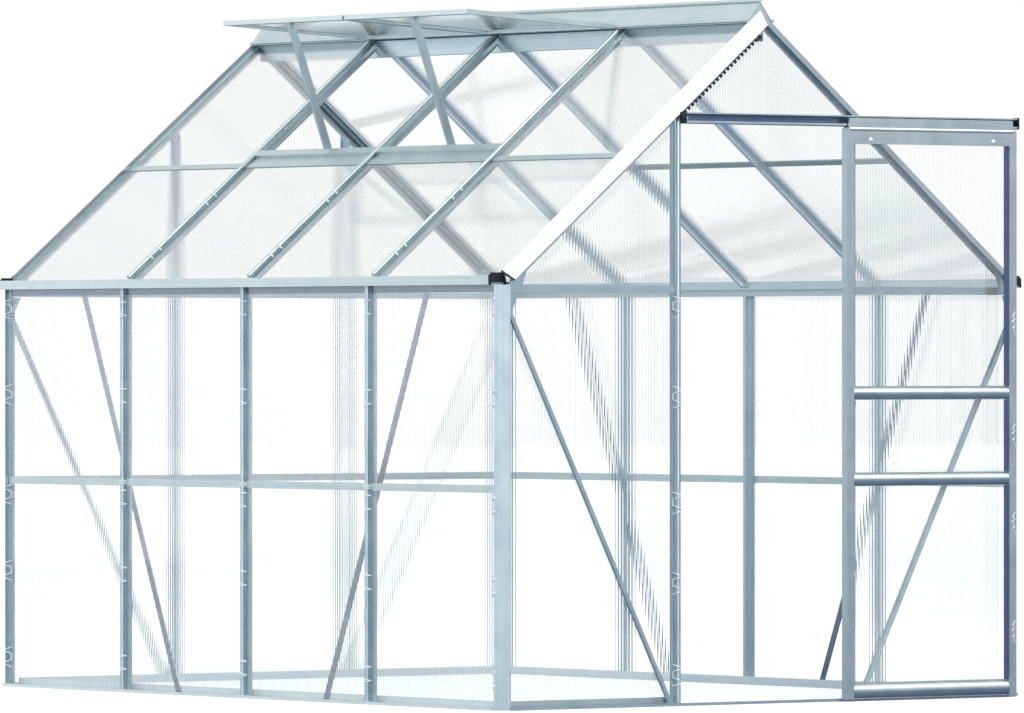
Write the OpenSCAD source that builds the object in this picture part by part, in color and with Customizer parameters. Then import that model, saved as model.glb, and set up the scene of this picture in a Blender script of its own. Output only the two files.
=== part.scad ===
// Aluminium greenhouse with twin-wall sheets, a sliding door and two roof vents.
// X runs across the gables, Y from the front gable to the rear one, Z up.

/* [Building] */
// Outer width across the corner posts
width = 1930; // [1700:10:2300]
// Outer length along the ridge
length = 2550; // [2100:10:3200]
// Height of the underside of the gutter
eave_height = 1208; // [1100:2:1400]
// Pitch of the roof in degrees
roof_pitch = 39; // [34:1:45]
// Bays along a long wall
side_bays = 4; // [4:1:6]
// Distance between the axes of the door posts
door_bay = 645; // [580:5:720]

/* [Sheets] */
// Thickness of a twin-wall sheet
sheet_t = 4; // [3:0.5:6]
// Gap between a sheet and the stem or web beside it
sheet_gap = 2; // [1:0.5:3]

/* [Glazing bars] */
// Diameter of the bead along the outside of a bar
bead_d = 14; // [10:0.5:16]
// Depth of a bar in front of the sheets
nose_d = 14; // [14:0.5:20]
// Width of the stem that carries the bead
stem_w = 6; // [4:0.5:8]
// Width of the flange behind the sheets
flange_w = 30; // [24:1:36]
// Thickness of the flange
flange_t = 2; // [1.5:0.25:3]
// Depth of the web behind the flange
web_d = 18; // [12:1:26]
// Thickness of the web
web_t = 3; // [2:0.5:4]
// Width of the foot that closes the web
foot_w = 14; // [10:1:20]
// Thickness of the foot
foot_t = 2; // [1.5:0.25:3]
// Distance of the corner bars' axes from the outer face
bar_inset = 32; // [28:1:36]

/* [Corner posts and rafters] */
// Leg of the chamfered corner face
corner_face = 34; // [30:1:40]
// Wall of the corner profile
corner_t = 2.5; // [2:0.25:3]
// Reach of the flange behind the sheet
corner_flange = 14; // [10:1:20]

/* [Joint strips] */
// Height of a strip between two sheets
strip_h = 22; // [18:1:28]
// Thickness of a strip's legs and web
strip_t = 1.5; // [1:0.25:2]
// Height of the middle of the wall strips
strip_z = 628; // [500:2:800]
// Height of the cross rails in the gables
rail_h = 22; // [20:1:30]
// Place of the roof strips down the slope
roof_strip_share = 0.54; // [0.5:0.01:0.6]

/* [Base] */
// Thickness of the base rail
base_t = 2; // [1.5:0.25:3]
// Height of the outer lip
base_lip_h = 9; // [7:0.5:14]
// Reach of the rail beyond the posts
base_reach = 10; // [6:1:16]
// Height of the inner upstand
base_upstand_h = 25; // [18:1:40]

/* [Gutter] */
// Reach of the gutter beyond the posts
gutter_reach = 20; // [14:1:30]
// Setback of the gutter's inner wall from the posts' outer face
gutter_in = 42; // [40:1:44]
// Height of the gutter's outer wall
gutter_h = 27; // [20:1:34]
// Wall of the gutter and the eave beam
gutter_t = 2; // [1.5:0.25:3]
// Setback of the roof line's foot from the posts' outer face
eave_setback = 36; // [34:1:38]
// Gap between the gutter's floor and the foot of the roof
drip_gap = 19; // [17:1:21]
// Drop of the eave beam below the gutter
beam_drop = 20; // [16:1:30]
// Thickness of an end cap
cap_wall = 3; // [2:0.5:4]
// Height of an end cap of the gutter
gutter_cap_h = 35; // [30:1:44]
// Chamfer on the cap's outer top corner
gutter_cap_chamfer = 10; // [8:1:14]
// Width of a cap's legs beside its notch
cap_leg = 9; // [7:0.5:12]
// Height of the notch under a cap
cap_notch = 6; // [4:0.5:8]

/* [Ridge] */
// Half the width of the ridge beam
ridge_half = 20; // [16:1:26]
// Depth of the ridge beam below the roof line
ridge_drop = 50; // [44:1:70]
// Wall of the ridge beam
ridge_t = 2; // [1.5:0.25:3]
// Half the width of the ridge cap
cap_half = 46; // [40:1:60]
// Rise of the cap's crest above the roof's outer face
cap_rise = 22; // [16:1:30]
// Thickness of the wings
cap_t = 2; // [1.5:0.25:3]
// Diameter of the bead along the crest
cap_bead_d = 12; // [8:0.5:16]
// Diameter of the hinge beads along the wings
hinge_bead_d = 10; // [8:0.5:12]

/* [Roof vents] */
// Length of a vent from its hinge to its outer edge
vent_reach = 543; // [450:1:620]
// Rise of the open vent above the horizontal in degrees
vent_lift = 3.5; // [0:0.5:12]
// Width of the vent's frame bars
vent_bar_w = 24; // [18:1:30]
// Thickness of the vent's frame
vent_bar_t = 14; // [10:1:18]
// Width of the stay's face
stay_w = 22; // [16:1:26]
// Depth of the stay's leg
stay_leg = 12; // [8:1:16]
// Thickness of the stay
stay_t = 3; // [2:0.5:4]
// Distance of the stay from the middle of its vent
stay_off = 40; // [20:1:60]
// Width of the vent sill
sill_w = 26; // [20:1:30]
// Height of the vent sill
sill_h = 14; // [10:1:18]
// Distance between the vent sill and the roof strip
sill_back = 25; // [18:1:30]

/* [Braces] */
// Width of a brace
brace_w = 24; // [18:1:30]
// Thickness of a brace
brace_t = 3; // [2:0.5:4]
// Width of a gable brace's face
gable_brace_w = 16; // [14:0.5:20]
// Depth of a gable brace's leg
gable_brace_leg = 9; // [7:0.5:11]
// Thickness of a corner gusset
gusset_t = 2; // [1.5:0.25:3]
// Reach of a gusset along the rafter
gusset_reach = 72; // [50:1:90]
// Width of a gusset under the gable rail
gusset_flare = 38; // [30:1:50]
// Reach of a gusset down the corner post
gusset_drop = 78; // [50:1:100]

/* [Door] */
// Lap of the door over the flange of each door post
door_lap = 14; // [8:1:24]
// Thickness of the door
door_t = 24; // [20:1:30]
// Height of the door's bottom above the ground
door_lift = 6; // [5:0.5:10]
// Way that the door is slid open
door_travel = 586; // [500:2:600]
// Width of a stile
stile_w = 27; // [22:1:36]
// Height of the head rail
head_h = 33; // [28:1:44]
// Diameter of the rounded strip on the head rail
head_strip_d = 18; // [14:1:22]
// Height of a half-round cross rail
cross_h = 40; // [32:1:50]
// Height of the lower cross rail's middle
cross_low_z = 646; // [560:2:760]
// Height of the upper cross rail's middle
cross_high_z = 898; // [840:2:1100]
// Height of the bottom rail
bottom_h = 48; // [40:1:60]
// Depth of the grooves that hold the sheets
groove_d = 8; // [6:0.5:10]

/* [Door track] */
// Height of the track
track_h = 30; // [28:1:36]
// Depth of the track from front to back
track_depth = 24; // [22:1:28]
// Wall of the track
track_t = 2; // [1.5:0.25:3]
// Height of the lip along the track's upper front edge
top_lip_h = 4; // [3:0.5:6]
// Height of the lip along the track's lower front edge
low_lip_h = 6; // [4:0.5:8]
// Overhang of the track beyond the open door
track_end_gap = 17; // [8:1:24]
// Diameter of a roller
roller_d = 20; // [16:0.5:22]
// Width of a roller
roller_w = 8; // [6:0.5:9]
// Thickness of the hanger plate
hanger_t = 7; // [5:0.5:8]
// Setback of the hanger plate from the door's edges
hanger_inset = 12; // [8:1:16]
// Thickness of an end cap along the track
track_cap_l = 4.5; // [3:0.5:8]

/* [Hidden] */

// Clearance where pieces seat on each other
fit = 0.3;
// Overrun of cuts past the faces they open
overrun = 20;
// Sides of the round beads
bead_fn = 40;

// Depths behind the outer face of a wall
seat_d = nose_d + sheet_t;
flange_back = seat_d + flange_t;
foot_back = flange_back + web_d + foot_t;
corner_back = corner_face + corner_flange;
upstand_at = foot_back + brace_t + fit;

// Foot of a gusset beside the corner post, and the slot under the gable rail
toe_share = 0.75;
gusset_toe = gable_brace_w * toe_share;
waist_share = 0.7;
rail_slot = 3;

// Bar axes along the walls, and the clear edges beside a stem
side_pitch = (length - 2 * bar_inset) / side_bays;
door_post_x = door_bay / 2;
edge = stem_w / 2 + sheet_gap;
flange_edge = flange_w / 2 + fit;
corner_edge = corner_face + sheet_gap;
corner_flange_edge = corner_back + fit;

// Roof line: the plane that the roof sheets lie on
tan_p = tan(roof_pitch);
cos_p = cos(roof_pitch);
sin_p = sin(roof_pitch);
gutter_floor = eave_height + gutter_t;
beam_bottom = eave_height - beam_drop;
roof_foot_x = width / 2 - eave_setback;
roof_foot_z = gutter_floor + drip_gap + flange_t / cos_p;
apex_z = roof_foot_z + roof_foot_x * tan_p;
slope_len = roof_foot_x / cos_p;
function roof_z(x, n = 0) = apex_z - abs(x) * tan_p + n / cos_p;
function roof_x(z, n) = (apex_z + n / cos_p - z) / tan_p;
// Clear of the square-cut foot of a rafter, at a height
function rafter_end_x(z) = roof_foot_x + (z - roof_foot_z) * tan_p + fit / cos_p;

// Places down the slope
strip_s = slope_len * roof_strip_share;
sheet_top_s = 6;
hinge_n = seat_d + fit + hinge_bead_d / 2;
hinge_x = cap_half;
hinge_z = roof_z(cap_half, hinge_n);

// Vents lie in the two middle bays of the left slope
vent_bays = [for (i = [0:side_bays - 1]) if (i > 0 && i < 3) i];
vent_w = side_pitch - 2 * edge - 2 * fit;
vent_start = hinge_bead_d / 2 + fit;
vent_groove_t = sheet_t + 2 * fit;
sill_s = strip_s - strip_h / 2 - sill_back - sill_w / 2;
stay_r = stay_w / 2;

// Track above the doorway; depths are counted forwards from the gable's outer face
track_rise = 4;
cap_over = 2;
door_gap = 5;
track_top = roof_z(door_post_x, seat_d - corner_face) + track_rise;
track_bottom = track_top - track_h;
track_back = fit;
track_front = track_back + track_depth;
header_z = roof_z(door_post_x - flange_edge, seat_d - corner_back) - fit - rail_h / 2;

// Door in front of the base rail, hung from a plate in front of the track
door_w = door_bay - flange_w + 2 * door_lap;
door_back = base_reach + door_gap;
door_mid = door_back + door_t / 2;
door_front = door_back + door_t;
hanger_back = track_front + door_gap;
strip_gap = 1;
hanger_drop = 3;
door_bottom = door_lift;
door_top = track_bottom - cap_over - door_gap;
head_top = track_bottom - head_strip_d - strip_gap;
head_bottom = head_top - head_h;
hanger_top = track_top - top_lip_h - hanger_drop;
bottom_top = door_bottom + bottom_h;
door_sheet_w = door_w - 2 * stile_w + 2 * groove_d - 2 * fit;
track_left = track_cap_l - door_w / 2;
track_right = door_travel + door_w / 2 + track_end_gap;

// Rollers inside the track
roller_inset = 90;
roller_gap = 5;
axle_d = 6;
roller_x = door_w / 2 - roller_inset;
roller_z = track_bottom + track_t + fit + roller_d / 2;

// The outermost faces in front and behind set the middle of the part
front_reach = max(door_front, track_front + cap_over, base_reach);
rear_reach = base_reach;
shell_shift = (front_reach - rear_reach) / 2;
front_y = -length / 2;
rear_y = length / 2;

aluminium = "#a9b8c4";
bright_aluminium = "#d5e0dd";
sheet_colour = [0.92, 0.95, 0.96, 0.45];
black_plastic = "#10141f";

function side_bar_y(k) = front_y + bar_inset + k * side_pitch;
function bay_start(k) = k == 0 ? front_y + corner_edge : side_bar_y(k) + edge;
function bay_end(k) = k == side_bays - 1 ? rear_y - corner_edge : side_bar_y(k + 1) - edge;
function bay_inner_start(k) =
    k == 0 ? front_y + corner_flange_edge : side_bar_y(k) + flange_edge;
function bay_inner_end(k) =
    k == side_bays - 1 ? rear_y - corner_flange_edge : side_bar_y(k + 1) - flange_edge;

module in_place() {
    translate([0, shell_shift, 0]) children();
}

module on_side(side) {
    mirror([side < 0 ? 1 : 0, 0, 0]) children();
}

// Children are written for the front gable and turned over for the rear one
module on_gable(end) {
    mirror([0, end > 0 ? 1 : 0, 0]) children();
}

// A box between two opposite corners
module block(low, high) {
    translate(low) cube(high - low);
}

// An outline in X and Z, drawn out along Y
module along_y(y0, y1) {
    translate([0, y1, 0]) rotate([90, 0, 0]) linear_extrude(y1 - y0) children();
}

// An outline in Y and Z, drawn out along X
module along_x(x0, x1) {
    translate([x0, 0, 0]) rotate([90, 0, 90]) linear_extrude(x1 - x0) children();
}

// Frame of the right-hand slope: X runs down the slope, Z stands on it
module on_slope() {
    translate([0, 0, apex_z]) rotate([0, roof_pitch, 0]) children();
}

// A profile in Y and the slope's normal, drawn out from above the ridge to the foot of the slope
module down_slope() {
    above = slope_len / 2;
    translate([0, 0, apex_z])
        rotate([0, 90 + roof_pitch, 0])
            rotate([0, 0, 90])
                translate([0, 0, -above])
                    linear_extrude(above + slope_len) children();
}

// Outer part of a glazing bar: the stem and the bead that the wire clips grip
module nose_profile() {
    translate([-stem_w / 2, 0]) square([stem_w, seat_d - bead_d / 2]);
    translate([0, seat_d - bead_d / 2]) circle(d = bead_d, $fn = bead_fn);
}
// Inner part of a glazing bar: flange, web and foot
module seat_profile() {
    translate([-flange_w / 2, -flange_t]) square([flange_w, flange_t]);
    translate([-web_t / 2, -flange_t - web_d]) square([web_t, web_d]);
    translate([-foot_w / 2, -flange_t - web_d - foot_t]) square([foot_w, foot_t]);
}

// Corner profile: a chamfered face with a return and a flange for each sheet
module corner_profile() {
    slant = corner_t * sqrt(2);
    polygon([[0, corner_face], [corner_face, 0], [corner_face, slant], [slant, corner_face]]);
    corner_leg();
    mirror([1, -1]) corner_leg();
}

module corner_leg() {
    inner = corner_face - corner_t;
    polygon([[corner_face, 0], [corner_face, flange_back], [inner, flange_back], [inner, corner_t]]);
    translate([inner, seat_d]) square([corner_t + corner_flange, flange_t]);
}

// Joint strip of H section between two sheets; X runs along it, Y outwards, Z across it
module joint_strip(outer0, outer1, inner0, inner1, high) {
    block([outer0, sheet_t, -high / 2], [outer1, sheet_t + strip_t, high / 2]);
    block([outer0, 0, -strip_t / 2], [outer1, sheet_t + strip_t / 2, strip_t / 2]);
    block([inner0, -strip_t / 2, -strip_t / 2], [inner1, sheet_t, strip_t / 2]);
    block([inner0, -strip_t, -high / 2], [inner1, 0, high / 2]);
}

// Base rail between two corner posts; X runs along it, Y outwards from the wall's face
module base_rail(half, upstands) {
    inner = upstand_at + base_t;
    plate_end = half - corner_flange_edge;
    lip_end = half - corner_face;
    block([-plate_end, -inner, 0], [plate_end, base_reach, base_t]);
    block([-lip_end, fit, 0], [lip_end, base_reach, base_t]);
    block([-lip_end, base_reach - base_t, 0], [lip_end, base_reach, base_lip_h]);
    for (span = upstands) block([span[0], -inner, 0], [span[1], base_t - inner, base_upstand_h]);
}

module base_rail_side() {
    stop = length / 2 - corner_flange_edge;
    translate([width / 2, 0, 0]) rotate([0, 0, -90]) base_rail(length / 2, [[-stop, stop]]);
}

module base_rail_gable(upstands) {
    translate([0, front_y, 0]) mirror([0, 1, 0]) base_rail(width / 2, upstands);
}

module base_rail_left() {
    color(aluminium) in_place() on_side(-1) base_rail_side();
}

module base_rail_right() {
    color(aluminium) in_place() on_side(1) base_rail_side();
}

// The upstands of the front rail leave the doorway free
module base_rail_front() {
    stop = width / 2 - corner_flange_edge;
    jamb = door_post_x + flange_edge;
    color(aluminium) in_place() base_rail_gable([[-stop, -jamb], [jamb, stop]]);
}

module base_rail_rear() {
    stop = width / 2 - corner_flange_edge;
    color(aluminium) in_place() on_gable(1) base_rail_gable([[-stop, stop]]);
}

// Posts and bars
module corner_post() {
    translate([width / 2, front_y, 0])
        mirror([1, 0, 0])
            linear_extrude(eave_height) corner_profile();
}

module corner_posts_front() {
    color(aluminium) in_place()
        for (side = [-1, 1]) on_side(side) corner_post();
}

module corner_posts_rear() {
    color(aluminium) in_place() on_gable(1)
        for (side = [-1, 1]) on_side(side) corner_post();
}

module side_bars() {
    for (k = [1:side_bays - 1])
        translate([width / 2 - seat_d, side_bar_y(k), base_t]) rotate([0, 0, -90]) {
            linear_extrude(eave_height - base_t) nose_profile();
            linear_extrude(beam_bottom - base_t) {
                nose_profile();
                seat_profile();
            }
        }
}

module side_bars_left() {
    color(aluminium) in_place() on_side(-1) side_bars();
}

module side_bars_right() {
    color(aluminium) in_place() on_side(1) side_bars();
}

// Bars of a gable, cut off along the underside of the rafters
module gable_bars() {
    for (side = [-1, 1]) on_side(side)
        intersection() {
            translate([door_post_x, front_y + seat_d, base_t])
                rotate([0, 0, 180])
                    linear_extrude(apex_z) {
                        nose_profile();
                        seat_profile();
                    }
            along_y(front_y - overrun, front_y + foot_back + overrun)
                polygon([
                    [0, 0], [width / 2, 0],
                    [width / 2, roof_z(width / 2, seat_d - corner_back)],
                    [0, roof_z(0, seat_d - corner_back)]
                ]);
        }
}

module door_posts() {
    color(aluminium) in_place() gable_bars();
}

module rear_gable_bars() {
    color(aluminium) in_place() on_gable(1) gable_bars();
}

// Eave beam with its gutter
module eave_gutter() {
    web_out = width / 2 - seat_d;
    web_in = width / 2 - flange_back;
    wall = width / 2 - gutter_in;
    lip = width / 2 + gutter_reach;
    beam_in = width / 2 - foot_back - brace_t;
    under = -flange_t - fit;
    along_y(front_y + corner_face, rear_y - corner_face) {
        translate([wall, eave_height]) square([lip - wall, gutter_t]);
        translate([lip - gutter_t, eave_height]) square([gutter_t, gutter_h]);
        polygon([
            [wall, eave_height], [wall + gutter_t, eave_height],
            [wall + gutter_t, roof_z(wall + gutter_t, under)], [wall, roof_z(wall, under)]
        ]);
    }
    along_y(front_y + corner_flange_edge, rear_y - corner_flange_edge) {
        translate([web_in, beam_bottom]) square([web_out - web_in, beam_drop + gutter_t]);
        translate([beam_in, beam_bottom]) square([web_out - beam_in, gutter_t]);
    }
}

module eave_gutter_left() {
    color(bright_aluminium) in_place() on_side(-1) eave_gutter();
}

module eave_gutter_right() {
    color(bright_aluminium) in_place() on_side(1) eave_gutter();
}

// End caps in the corner between the rafter's foot and the corner post
module gutter_end_caps() {
    inner = width / 2 - gutter_in;
    outer = width / 2 + gutter_reach;
    low = eave_height;
    notch = low + cap_notch;
    top = low + gutter_cap_h;
    knee = roof_foot_z - (roof_foot_x - inner + fit / cos_p) / tan_p;
    color(black_plastic) in_place()
        for (end = [-1, 1], side = [-1, 1])
            on_gable(end) on_side(side)
                along_y(front_y + corner_face - cap_wall, front_y + corner_face)
                    polygon([
                        [inner, low], [inner + cap_leg, low], [inner + cap_leg, notch],
                        [outer - cap_leg, notch], [outer - cap_leg, low], [outer, low],
                        [outer, top - gutter_cap_chamfer], [outer - gutter_cap_chamfer, top],
                        [rafter_end_x(top), top], [inner, knee]
                    ]);
}

// Rails across the gables at eave level
module gable_strip(x0, x1, inner0, inner1, z, high) {
    translate([0, front_y + seat_d, z])
        mirror([0, 1, 0]) joint_strip(x0, x1, inner0, inner1, high);
}

module gable_strips_outer(z, high) {
    for (side = [-1, 1]) on_side(side)
        gable_strip(door_post_x + edge, width / 2 - corner_edge,
            door_post_x + flange_edge, width / 2 - corner_flange_edge, z, high);
}

module gable_strip_middle(z, high) {
    gable_strip(edge - door_post_x, door_post_x - edge,
        flange_edge - door_post_x, door_post_x - flange_edge, z, high);
}

module gable_rails_front() {
    color(aluminium) in_place() {
        gable_strips_outer(eave_height - rail_h / 2, rail_h);
        gable_strip_middle(header_z, rail_h);
    }
}

module gable_rails_rear() {
    color(aluminium) in_place() on_gable(1) {
        gable_strips_outer(eave_height - rail_h / 2, rail_h);
        gable_strip_middle(eave_height - rail_h / 2, rail_h);
    }
}

// Space that a roof bar may fill: from x0 outwards above its flange, and as far as the beam below it
module roof_space(x0, low, beam) {
    far = width / 2 + gutter_reach;
    high = apex_z + slope_len;
    along_y(front_y - overrun, rear_y + overrun)
        polygon([
            [x0, high], [far, high], [far, roof_z(far, -flange_t)],
            [beam, roof_z(beam, -flange_t)], [beam, low], [x0, low]
        ]);
}

module rafter() {
    intersection() {
        down_slope()
            translate([front_y, seat_d]) rotate(-90) corner_profile();
        block([0, front_y - overrun, eave_height], [width, rear_y, apex_z + slope_len]);
    }
}

module rafter_front_left() {
    color(bright_aluminium) in_place() on_side(-1) rafter();
}

module rafter_front_right() {
    color(bright_aluminium) in_place() on_side(1) rafter();
}

module rafter_rear_left() {
    color(bright_aluminium) in_place() on_gable(1) on_side(-1) rafter();
}

module rafter_rear_right() {
    color(bright_aluminium) in_place() on_gable(1) on_side(1) rafter();
}

module roof_bars() {
    for (k = [1:side_bays - 1])
        intersection() {
            down_slope()
                translate([side_bar_y(k), 0]) {
                    nose_profile();
                    seat_profile();
                }
            roof_space(ridge_half, beam_bottom, width / 2 - gutter_in - fit);
        }
}

module roof_bars_left() {
    color(bright_aluminium) in_place() on_side(-1) roof_bars();
}

module roof_bars_right() {
    color(bright_aluminium) in_place() on_side(1) roof_bars();
}

// Ridge
module ridge_outline(half, low, n) {
    polygon([
        [-half, low], [half, low], [half, roof_z(half, n)],
        [0, roof_z(0, n)], [-half, roof_z(half, n)]
    ]);
}

module ridge_beam() {
    low = roof_z(ridge_half) - ridge_drop;
    color(aluminium) in_place()
        along_y(front_y + corner_flange_edge, rear_y - corner_flange_edge)
            difference() {
                ridge_outline(ridge_half, low, -fit);
                ridge_outline(ridge_half - ridge_t, low + ridge_t, -fit - ridge_t);
            }
}

// Cap with two steep wings, a bead along its crest and a hinge bead along each wing
module ridge_cap() {
    wing_z = roof_z(cap_half, seat_d) + fit;
    crest_z = roof_z(0, seat_d) + cap_rise;
    steep = (crest_z - wing_z) / cap_half;
    thick = cap_t * norm([steep, 1]);
    color(bright_aluminium) in_place()
        along_y(front_y + corner_face, rear_y - corner_face) {
            polygon([
                [-cap_half, wing_z], [0, crest_z], [cap_half, wing_z],
                [cap_half, wing_z + thick], [0, crest_z + thick], [-cap_half, wing_z + thick]
            ]);
            translate([0, crest_z + cap_bead_d / 2]) circle(d = cap_bead_d, $fn = bead_fn);
            for (side = [-1, 1])
                translate([side * hinge_x, hinge_z]) circle(d = hinge_bead_d, $fn = bead_fn);
        }
}

// Joint strips
module side_strips() {
    for (k = [0:side_bays - 1])
        translate([width / 2 - seat_d, 0, strip_z]) rotate([0, 0, -90])
            joint_strip(-bay_end(k), -bay_start(k), -bay_inner_end(k), -bay_inner_start(k), strip_h);
}

module joint_strips_sides() {
    color(bright_aluminium) in_place()
        for (side = [-1, 1]) on_side(side) side_strips();
}

module joint_strips_rear() {
    color(bright_aluminium) in_place() on_gable(1) {
        gable_strips_outer(strip_z, strip_h);
        gable_strip_middle(strip_z, strip_h);
    }
}

module roof_strips() {
    for (k = [0:side_bays - 1])
        on_slope() translate([strip_s, 0, 0])
            rotate([90, 0, 90])
                joint_strip(bay_start(k), bay_end(k), bay_inner_start(k), bay_inner_end(k), strip_h);
}

module joint_strips_roof() {
    color(bright_aluminium) in_place()
        for (side = [-1, 1]) on_side(side) roof_strips();
}

// Sills under the open vents, each with a tongue that reaches under the roof strip
module vent_sills() {
    tongue_end = strip_s - strip_t / 2 - fit;
    clear = max(bead_d / 2 + fit - edge, 0);
    color(bright_aluminium) in_place() on_side(-1) on_slope()
        for (k = vent_bays) {
            block([sill_s - sill_w / 2, bay_start(k) + clear, 0],
                [sill_s + sill_w / 2, bay_end(k) - clear, sill_h]);
            block([sill_s, bay_start(k), 0], [tongue_end, bay_end(k), sheet_t - fit]);
        }
}

// Frame of an open vent: X runs out from the hinge, Z stands on the vent
module on_vent(k) {
    on_side(-1)
        translate([hinge_x, (bay_start(k) + bay_end(k)) / 2, hinge_z])
            rotate([0, -vent_lift, 0]) translate([vent_start, 0, 0]) children();
}

module vent_frames() {
    length_in = vent_reach - 2 * vent_bar_w;
    width_in = vent_w - 2 * vent_bar_w;
    slot_reach = groove_d + fit;
    color(aluminium) in_place()
        for (k = vent_bays) on_vent(k)
            difference() {
                block([0, -vent_w / 2, -vent_bar_t / 2], [vent_reach, vent_w / 2, vent_bar_t / 2]);
                translate([vent_bar_w, -width_in / 2, -overrun]) cube([length_in, width_in, 2 * overrun]);
                block([vent_bar_w - slot_reach, -width_in / 2 - slot_reach, -vent_groove_t / 2],
                    [vent_bar_w + length_in + slot_reach, width_in / 2 + slot_reach, vent_groove_t / 2]);
            }
}

module vent_sheets() {
    width_in = vent_w - 2 * vent_bar_w;
    low = vent_bar_w - groove_d;
    color(sheet_colour) in_place()
        for (k = vent_bays) on_vent(k)
            block([low, -width_in / 2 - groove_d, -sheet_t / 2],
                [vent_reach - low, width_in / 2 + groove_d, sheet_t / 2]);
}

// Angle stay from the underside of the vent's outer bar to the upper side of the sill
module vent_stays() {
    out_s = vent_start + vent_reach - vent_bar_w / 2;
    down = vent_bar_t / 2 + fit + stay_r;
    high_x = hinge_x + out_s * cos(vent_lift) + down * sin(vent_lift);
    high_z = hinge_z + out_s * sin(vent_lift) - down * cos(vent_lift);
    foot_s = sill_s - sill_w / 2 - fit - stay_r;
    foot_n = sill_h / 2;
    low_x = foot_s * cos_p + foot_n * sin_p;
    low_z = apex_z - foot_s * sin_p + foot_n * cos_p;
    span = norm([high_x - low_x, high_z - low_z]);
    lean = atan2(high_z - low_z, high_x - low_x);
    color(aluminium) in_place() on_side(-1)
        for (k = vent_bays) {
            near = (bay_start(k) + bay_end(k)) / 2 - stay_off;
            along_y(near, near + stay_t)
                translate([low_x, low_z]) rotate(lean) {
                    translate([0, -stay_r]) square([span, stay_w]);
                    circle(d = stay_w, $fn = bead_fn);
                    translate([span, 0]) circle(d = stay_w, $fn = bead_fn);
                }
            along_y(near, near + stay_leg)
                translate([low_x, low_z]) rotate(lean)
                    translate([0, -stay_r]) square([span, stay_t]);
        }
}

// Braces inside the walls
module side_brace() {
    low = base_t + fit;
    high = beam_bottom - fit;
    middle = side_bar_y(1);
    brace_lean_share = 0.4;
    run = brace_lean_share * side_pitch;
    half = brace_w / 2;
    along_x(width / 2 - foot_back - brace_t, width / 2 - foot_back)
        polygon([
            [middle + run - half, low], [middle + run + half, low],
            [middle - run + half, high], [middle - run - half, high]
        ]);
}

module side_braces() {
    color(aluminium) in_place()
        for (end = [-1, 1], side = [-1, 1]) on_gable(end) on_side(side) side_brace();
}

// A gable brace is an angle on the face of the outer sheet, with its leg standing outwards
module gable_brace() {
    low = base_t + fit;
    high = eave_height - gusset_drop;
    inner = door_post_x + flange_w / 2 + fit;
    outer = width / 2 - corner_face - fit;
    run = outer - gusset_toe - inner;
    climb = high - low;
    lean = norm([run, climb]) / climb;
    step = gable_brace_w * lean;
    rim = brace_t * lean;
    edge_z = low + climb * (run + gusset_toe - step) / run;
    back = front_y + nose_d - strip_t - fit;
    along_y(back - brace_t, back)
        polygon([
            [inner, low], [inner + step, low], [outer, edge_z], [outer, high], [outer - gusset_toe, high]
        ]);
    along_y(back - gable_brace_leg, back)
        polygon([
            [inner + step - rim, low], [inner + step, low], [outer, edge_z],
            [outer, edge_z + rim * climb / run]
        ]);
}

module gable_braces() {
    color(aluminium) in_place()
        for (end = [-1, 1], side = [-1, 1]) on_gable(end) on_side(side) gable_brace();
}

// A gusset has one plate between the rafter and the gable rail, and one below the rail
module corner_gusset() {
    under = seat_d - corner_face - fit;
    sill = eave_height + fit;
    outer = width / 2 - corner_face - fit;
    corner = min(outer, roof_x(sill + gusset_t, under));
    tip = corner - gusset_reach;
    waist = corner - gusset_reach * waist_share;
    top = eave_height - rail_h - rail_slot;
    low = eave_height - gusset_drop + fit;
    back = front_y + nose_d - fit;
    along_y(back - gusset_t, back) {
        polygon([[corner, sill], [corner, roof_z(corner, under)], [tip, roof_z(tip, under)], [waist, sill]]);
        polygon([[outer, top], [outer - gusset_flare, top], [outer - gusset_toe, low], [outer, low]]);
    }
}

module corner_gussets() {
    color(aluminium) in_place()
        for (end = [-1, 1], side = [-1, 1]) on_gable(end) on_side(side) corner_gusset();
}

// Sheets
module side_sheets() {
    split = strip_t / 2 + fit;
    for (k = [0:side_bays - 1])
        for (span = [[base_t, strip_z - split], [strip_z + split, eave_height - fit]])
            block([width / 2 - seat_d, bay_start(k), span[0]], [width / 2 - nose_d, bay_end(k), span[1]]);
}

module side_sheets_left() {
    color(sheet_colour) in_place() on_side(-1) side_sheets();
}

module side_sheets_right() {
    color(sheet_colour) in_place() on_side(1) side_sheets();
}

// Upright sheets of a gable between heights, in its outer bays or its middle bay
module gable_sheets_outer(z0, z1) {
    for (side = [-1, 1]) on_side(side)
        block([door_post_x + edge, front_y + nose_d, z0],
            [width / 2 - corner_edge, front_y + seat_d, z1]);
}

module gable_sheet_middle(z0, z1) {
    block([edge - door_post_x, front_y + nose_d, z0], [door_post_x - edge, front_y + seat_d, z1]);
}

// Sheets under the rafters, above height z0
module gable_peak_outer(z0) {
    under = seat_d - corner_edge;
    inner = door_post_x + edge;
    outer = width / 2 - corner_edge;
    for (side = [-1, 1]) on_side(side)
        along_y(front_y + nose_d, front_y + seat_d)
            polygon([
                [inner, z0], [outer, z0], [outer, roof_z(outer, under)], [inner, roof_z(inner, under)]
            ]);
}

module gable_peak_middle(z0) {
    under = seat_d - corner_edge;
    reach = door_post_x - edge;
    along_y(front_y + nose_d, front_y + seat_d)
        polygon([
            [-reach, z0], [reach, z0], [reach, roof_z(reach, under)],
            [0, roof_z(0, under)], [-reach, roof_z(reach, under)]
        ]);
}

module front_gable_sheets() {
    split = strip_t / 2 + fit;
    rail_z = eave_height - rail_h / 2;
    color(sheet_colour) in_place() {
        gable_sheets_outer(base_t, rail_z - split);
        gable_peak_outer(rail_z + split);
        gable_peak_middle(header_z + split);
    }
}

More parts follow.
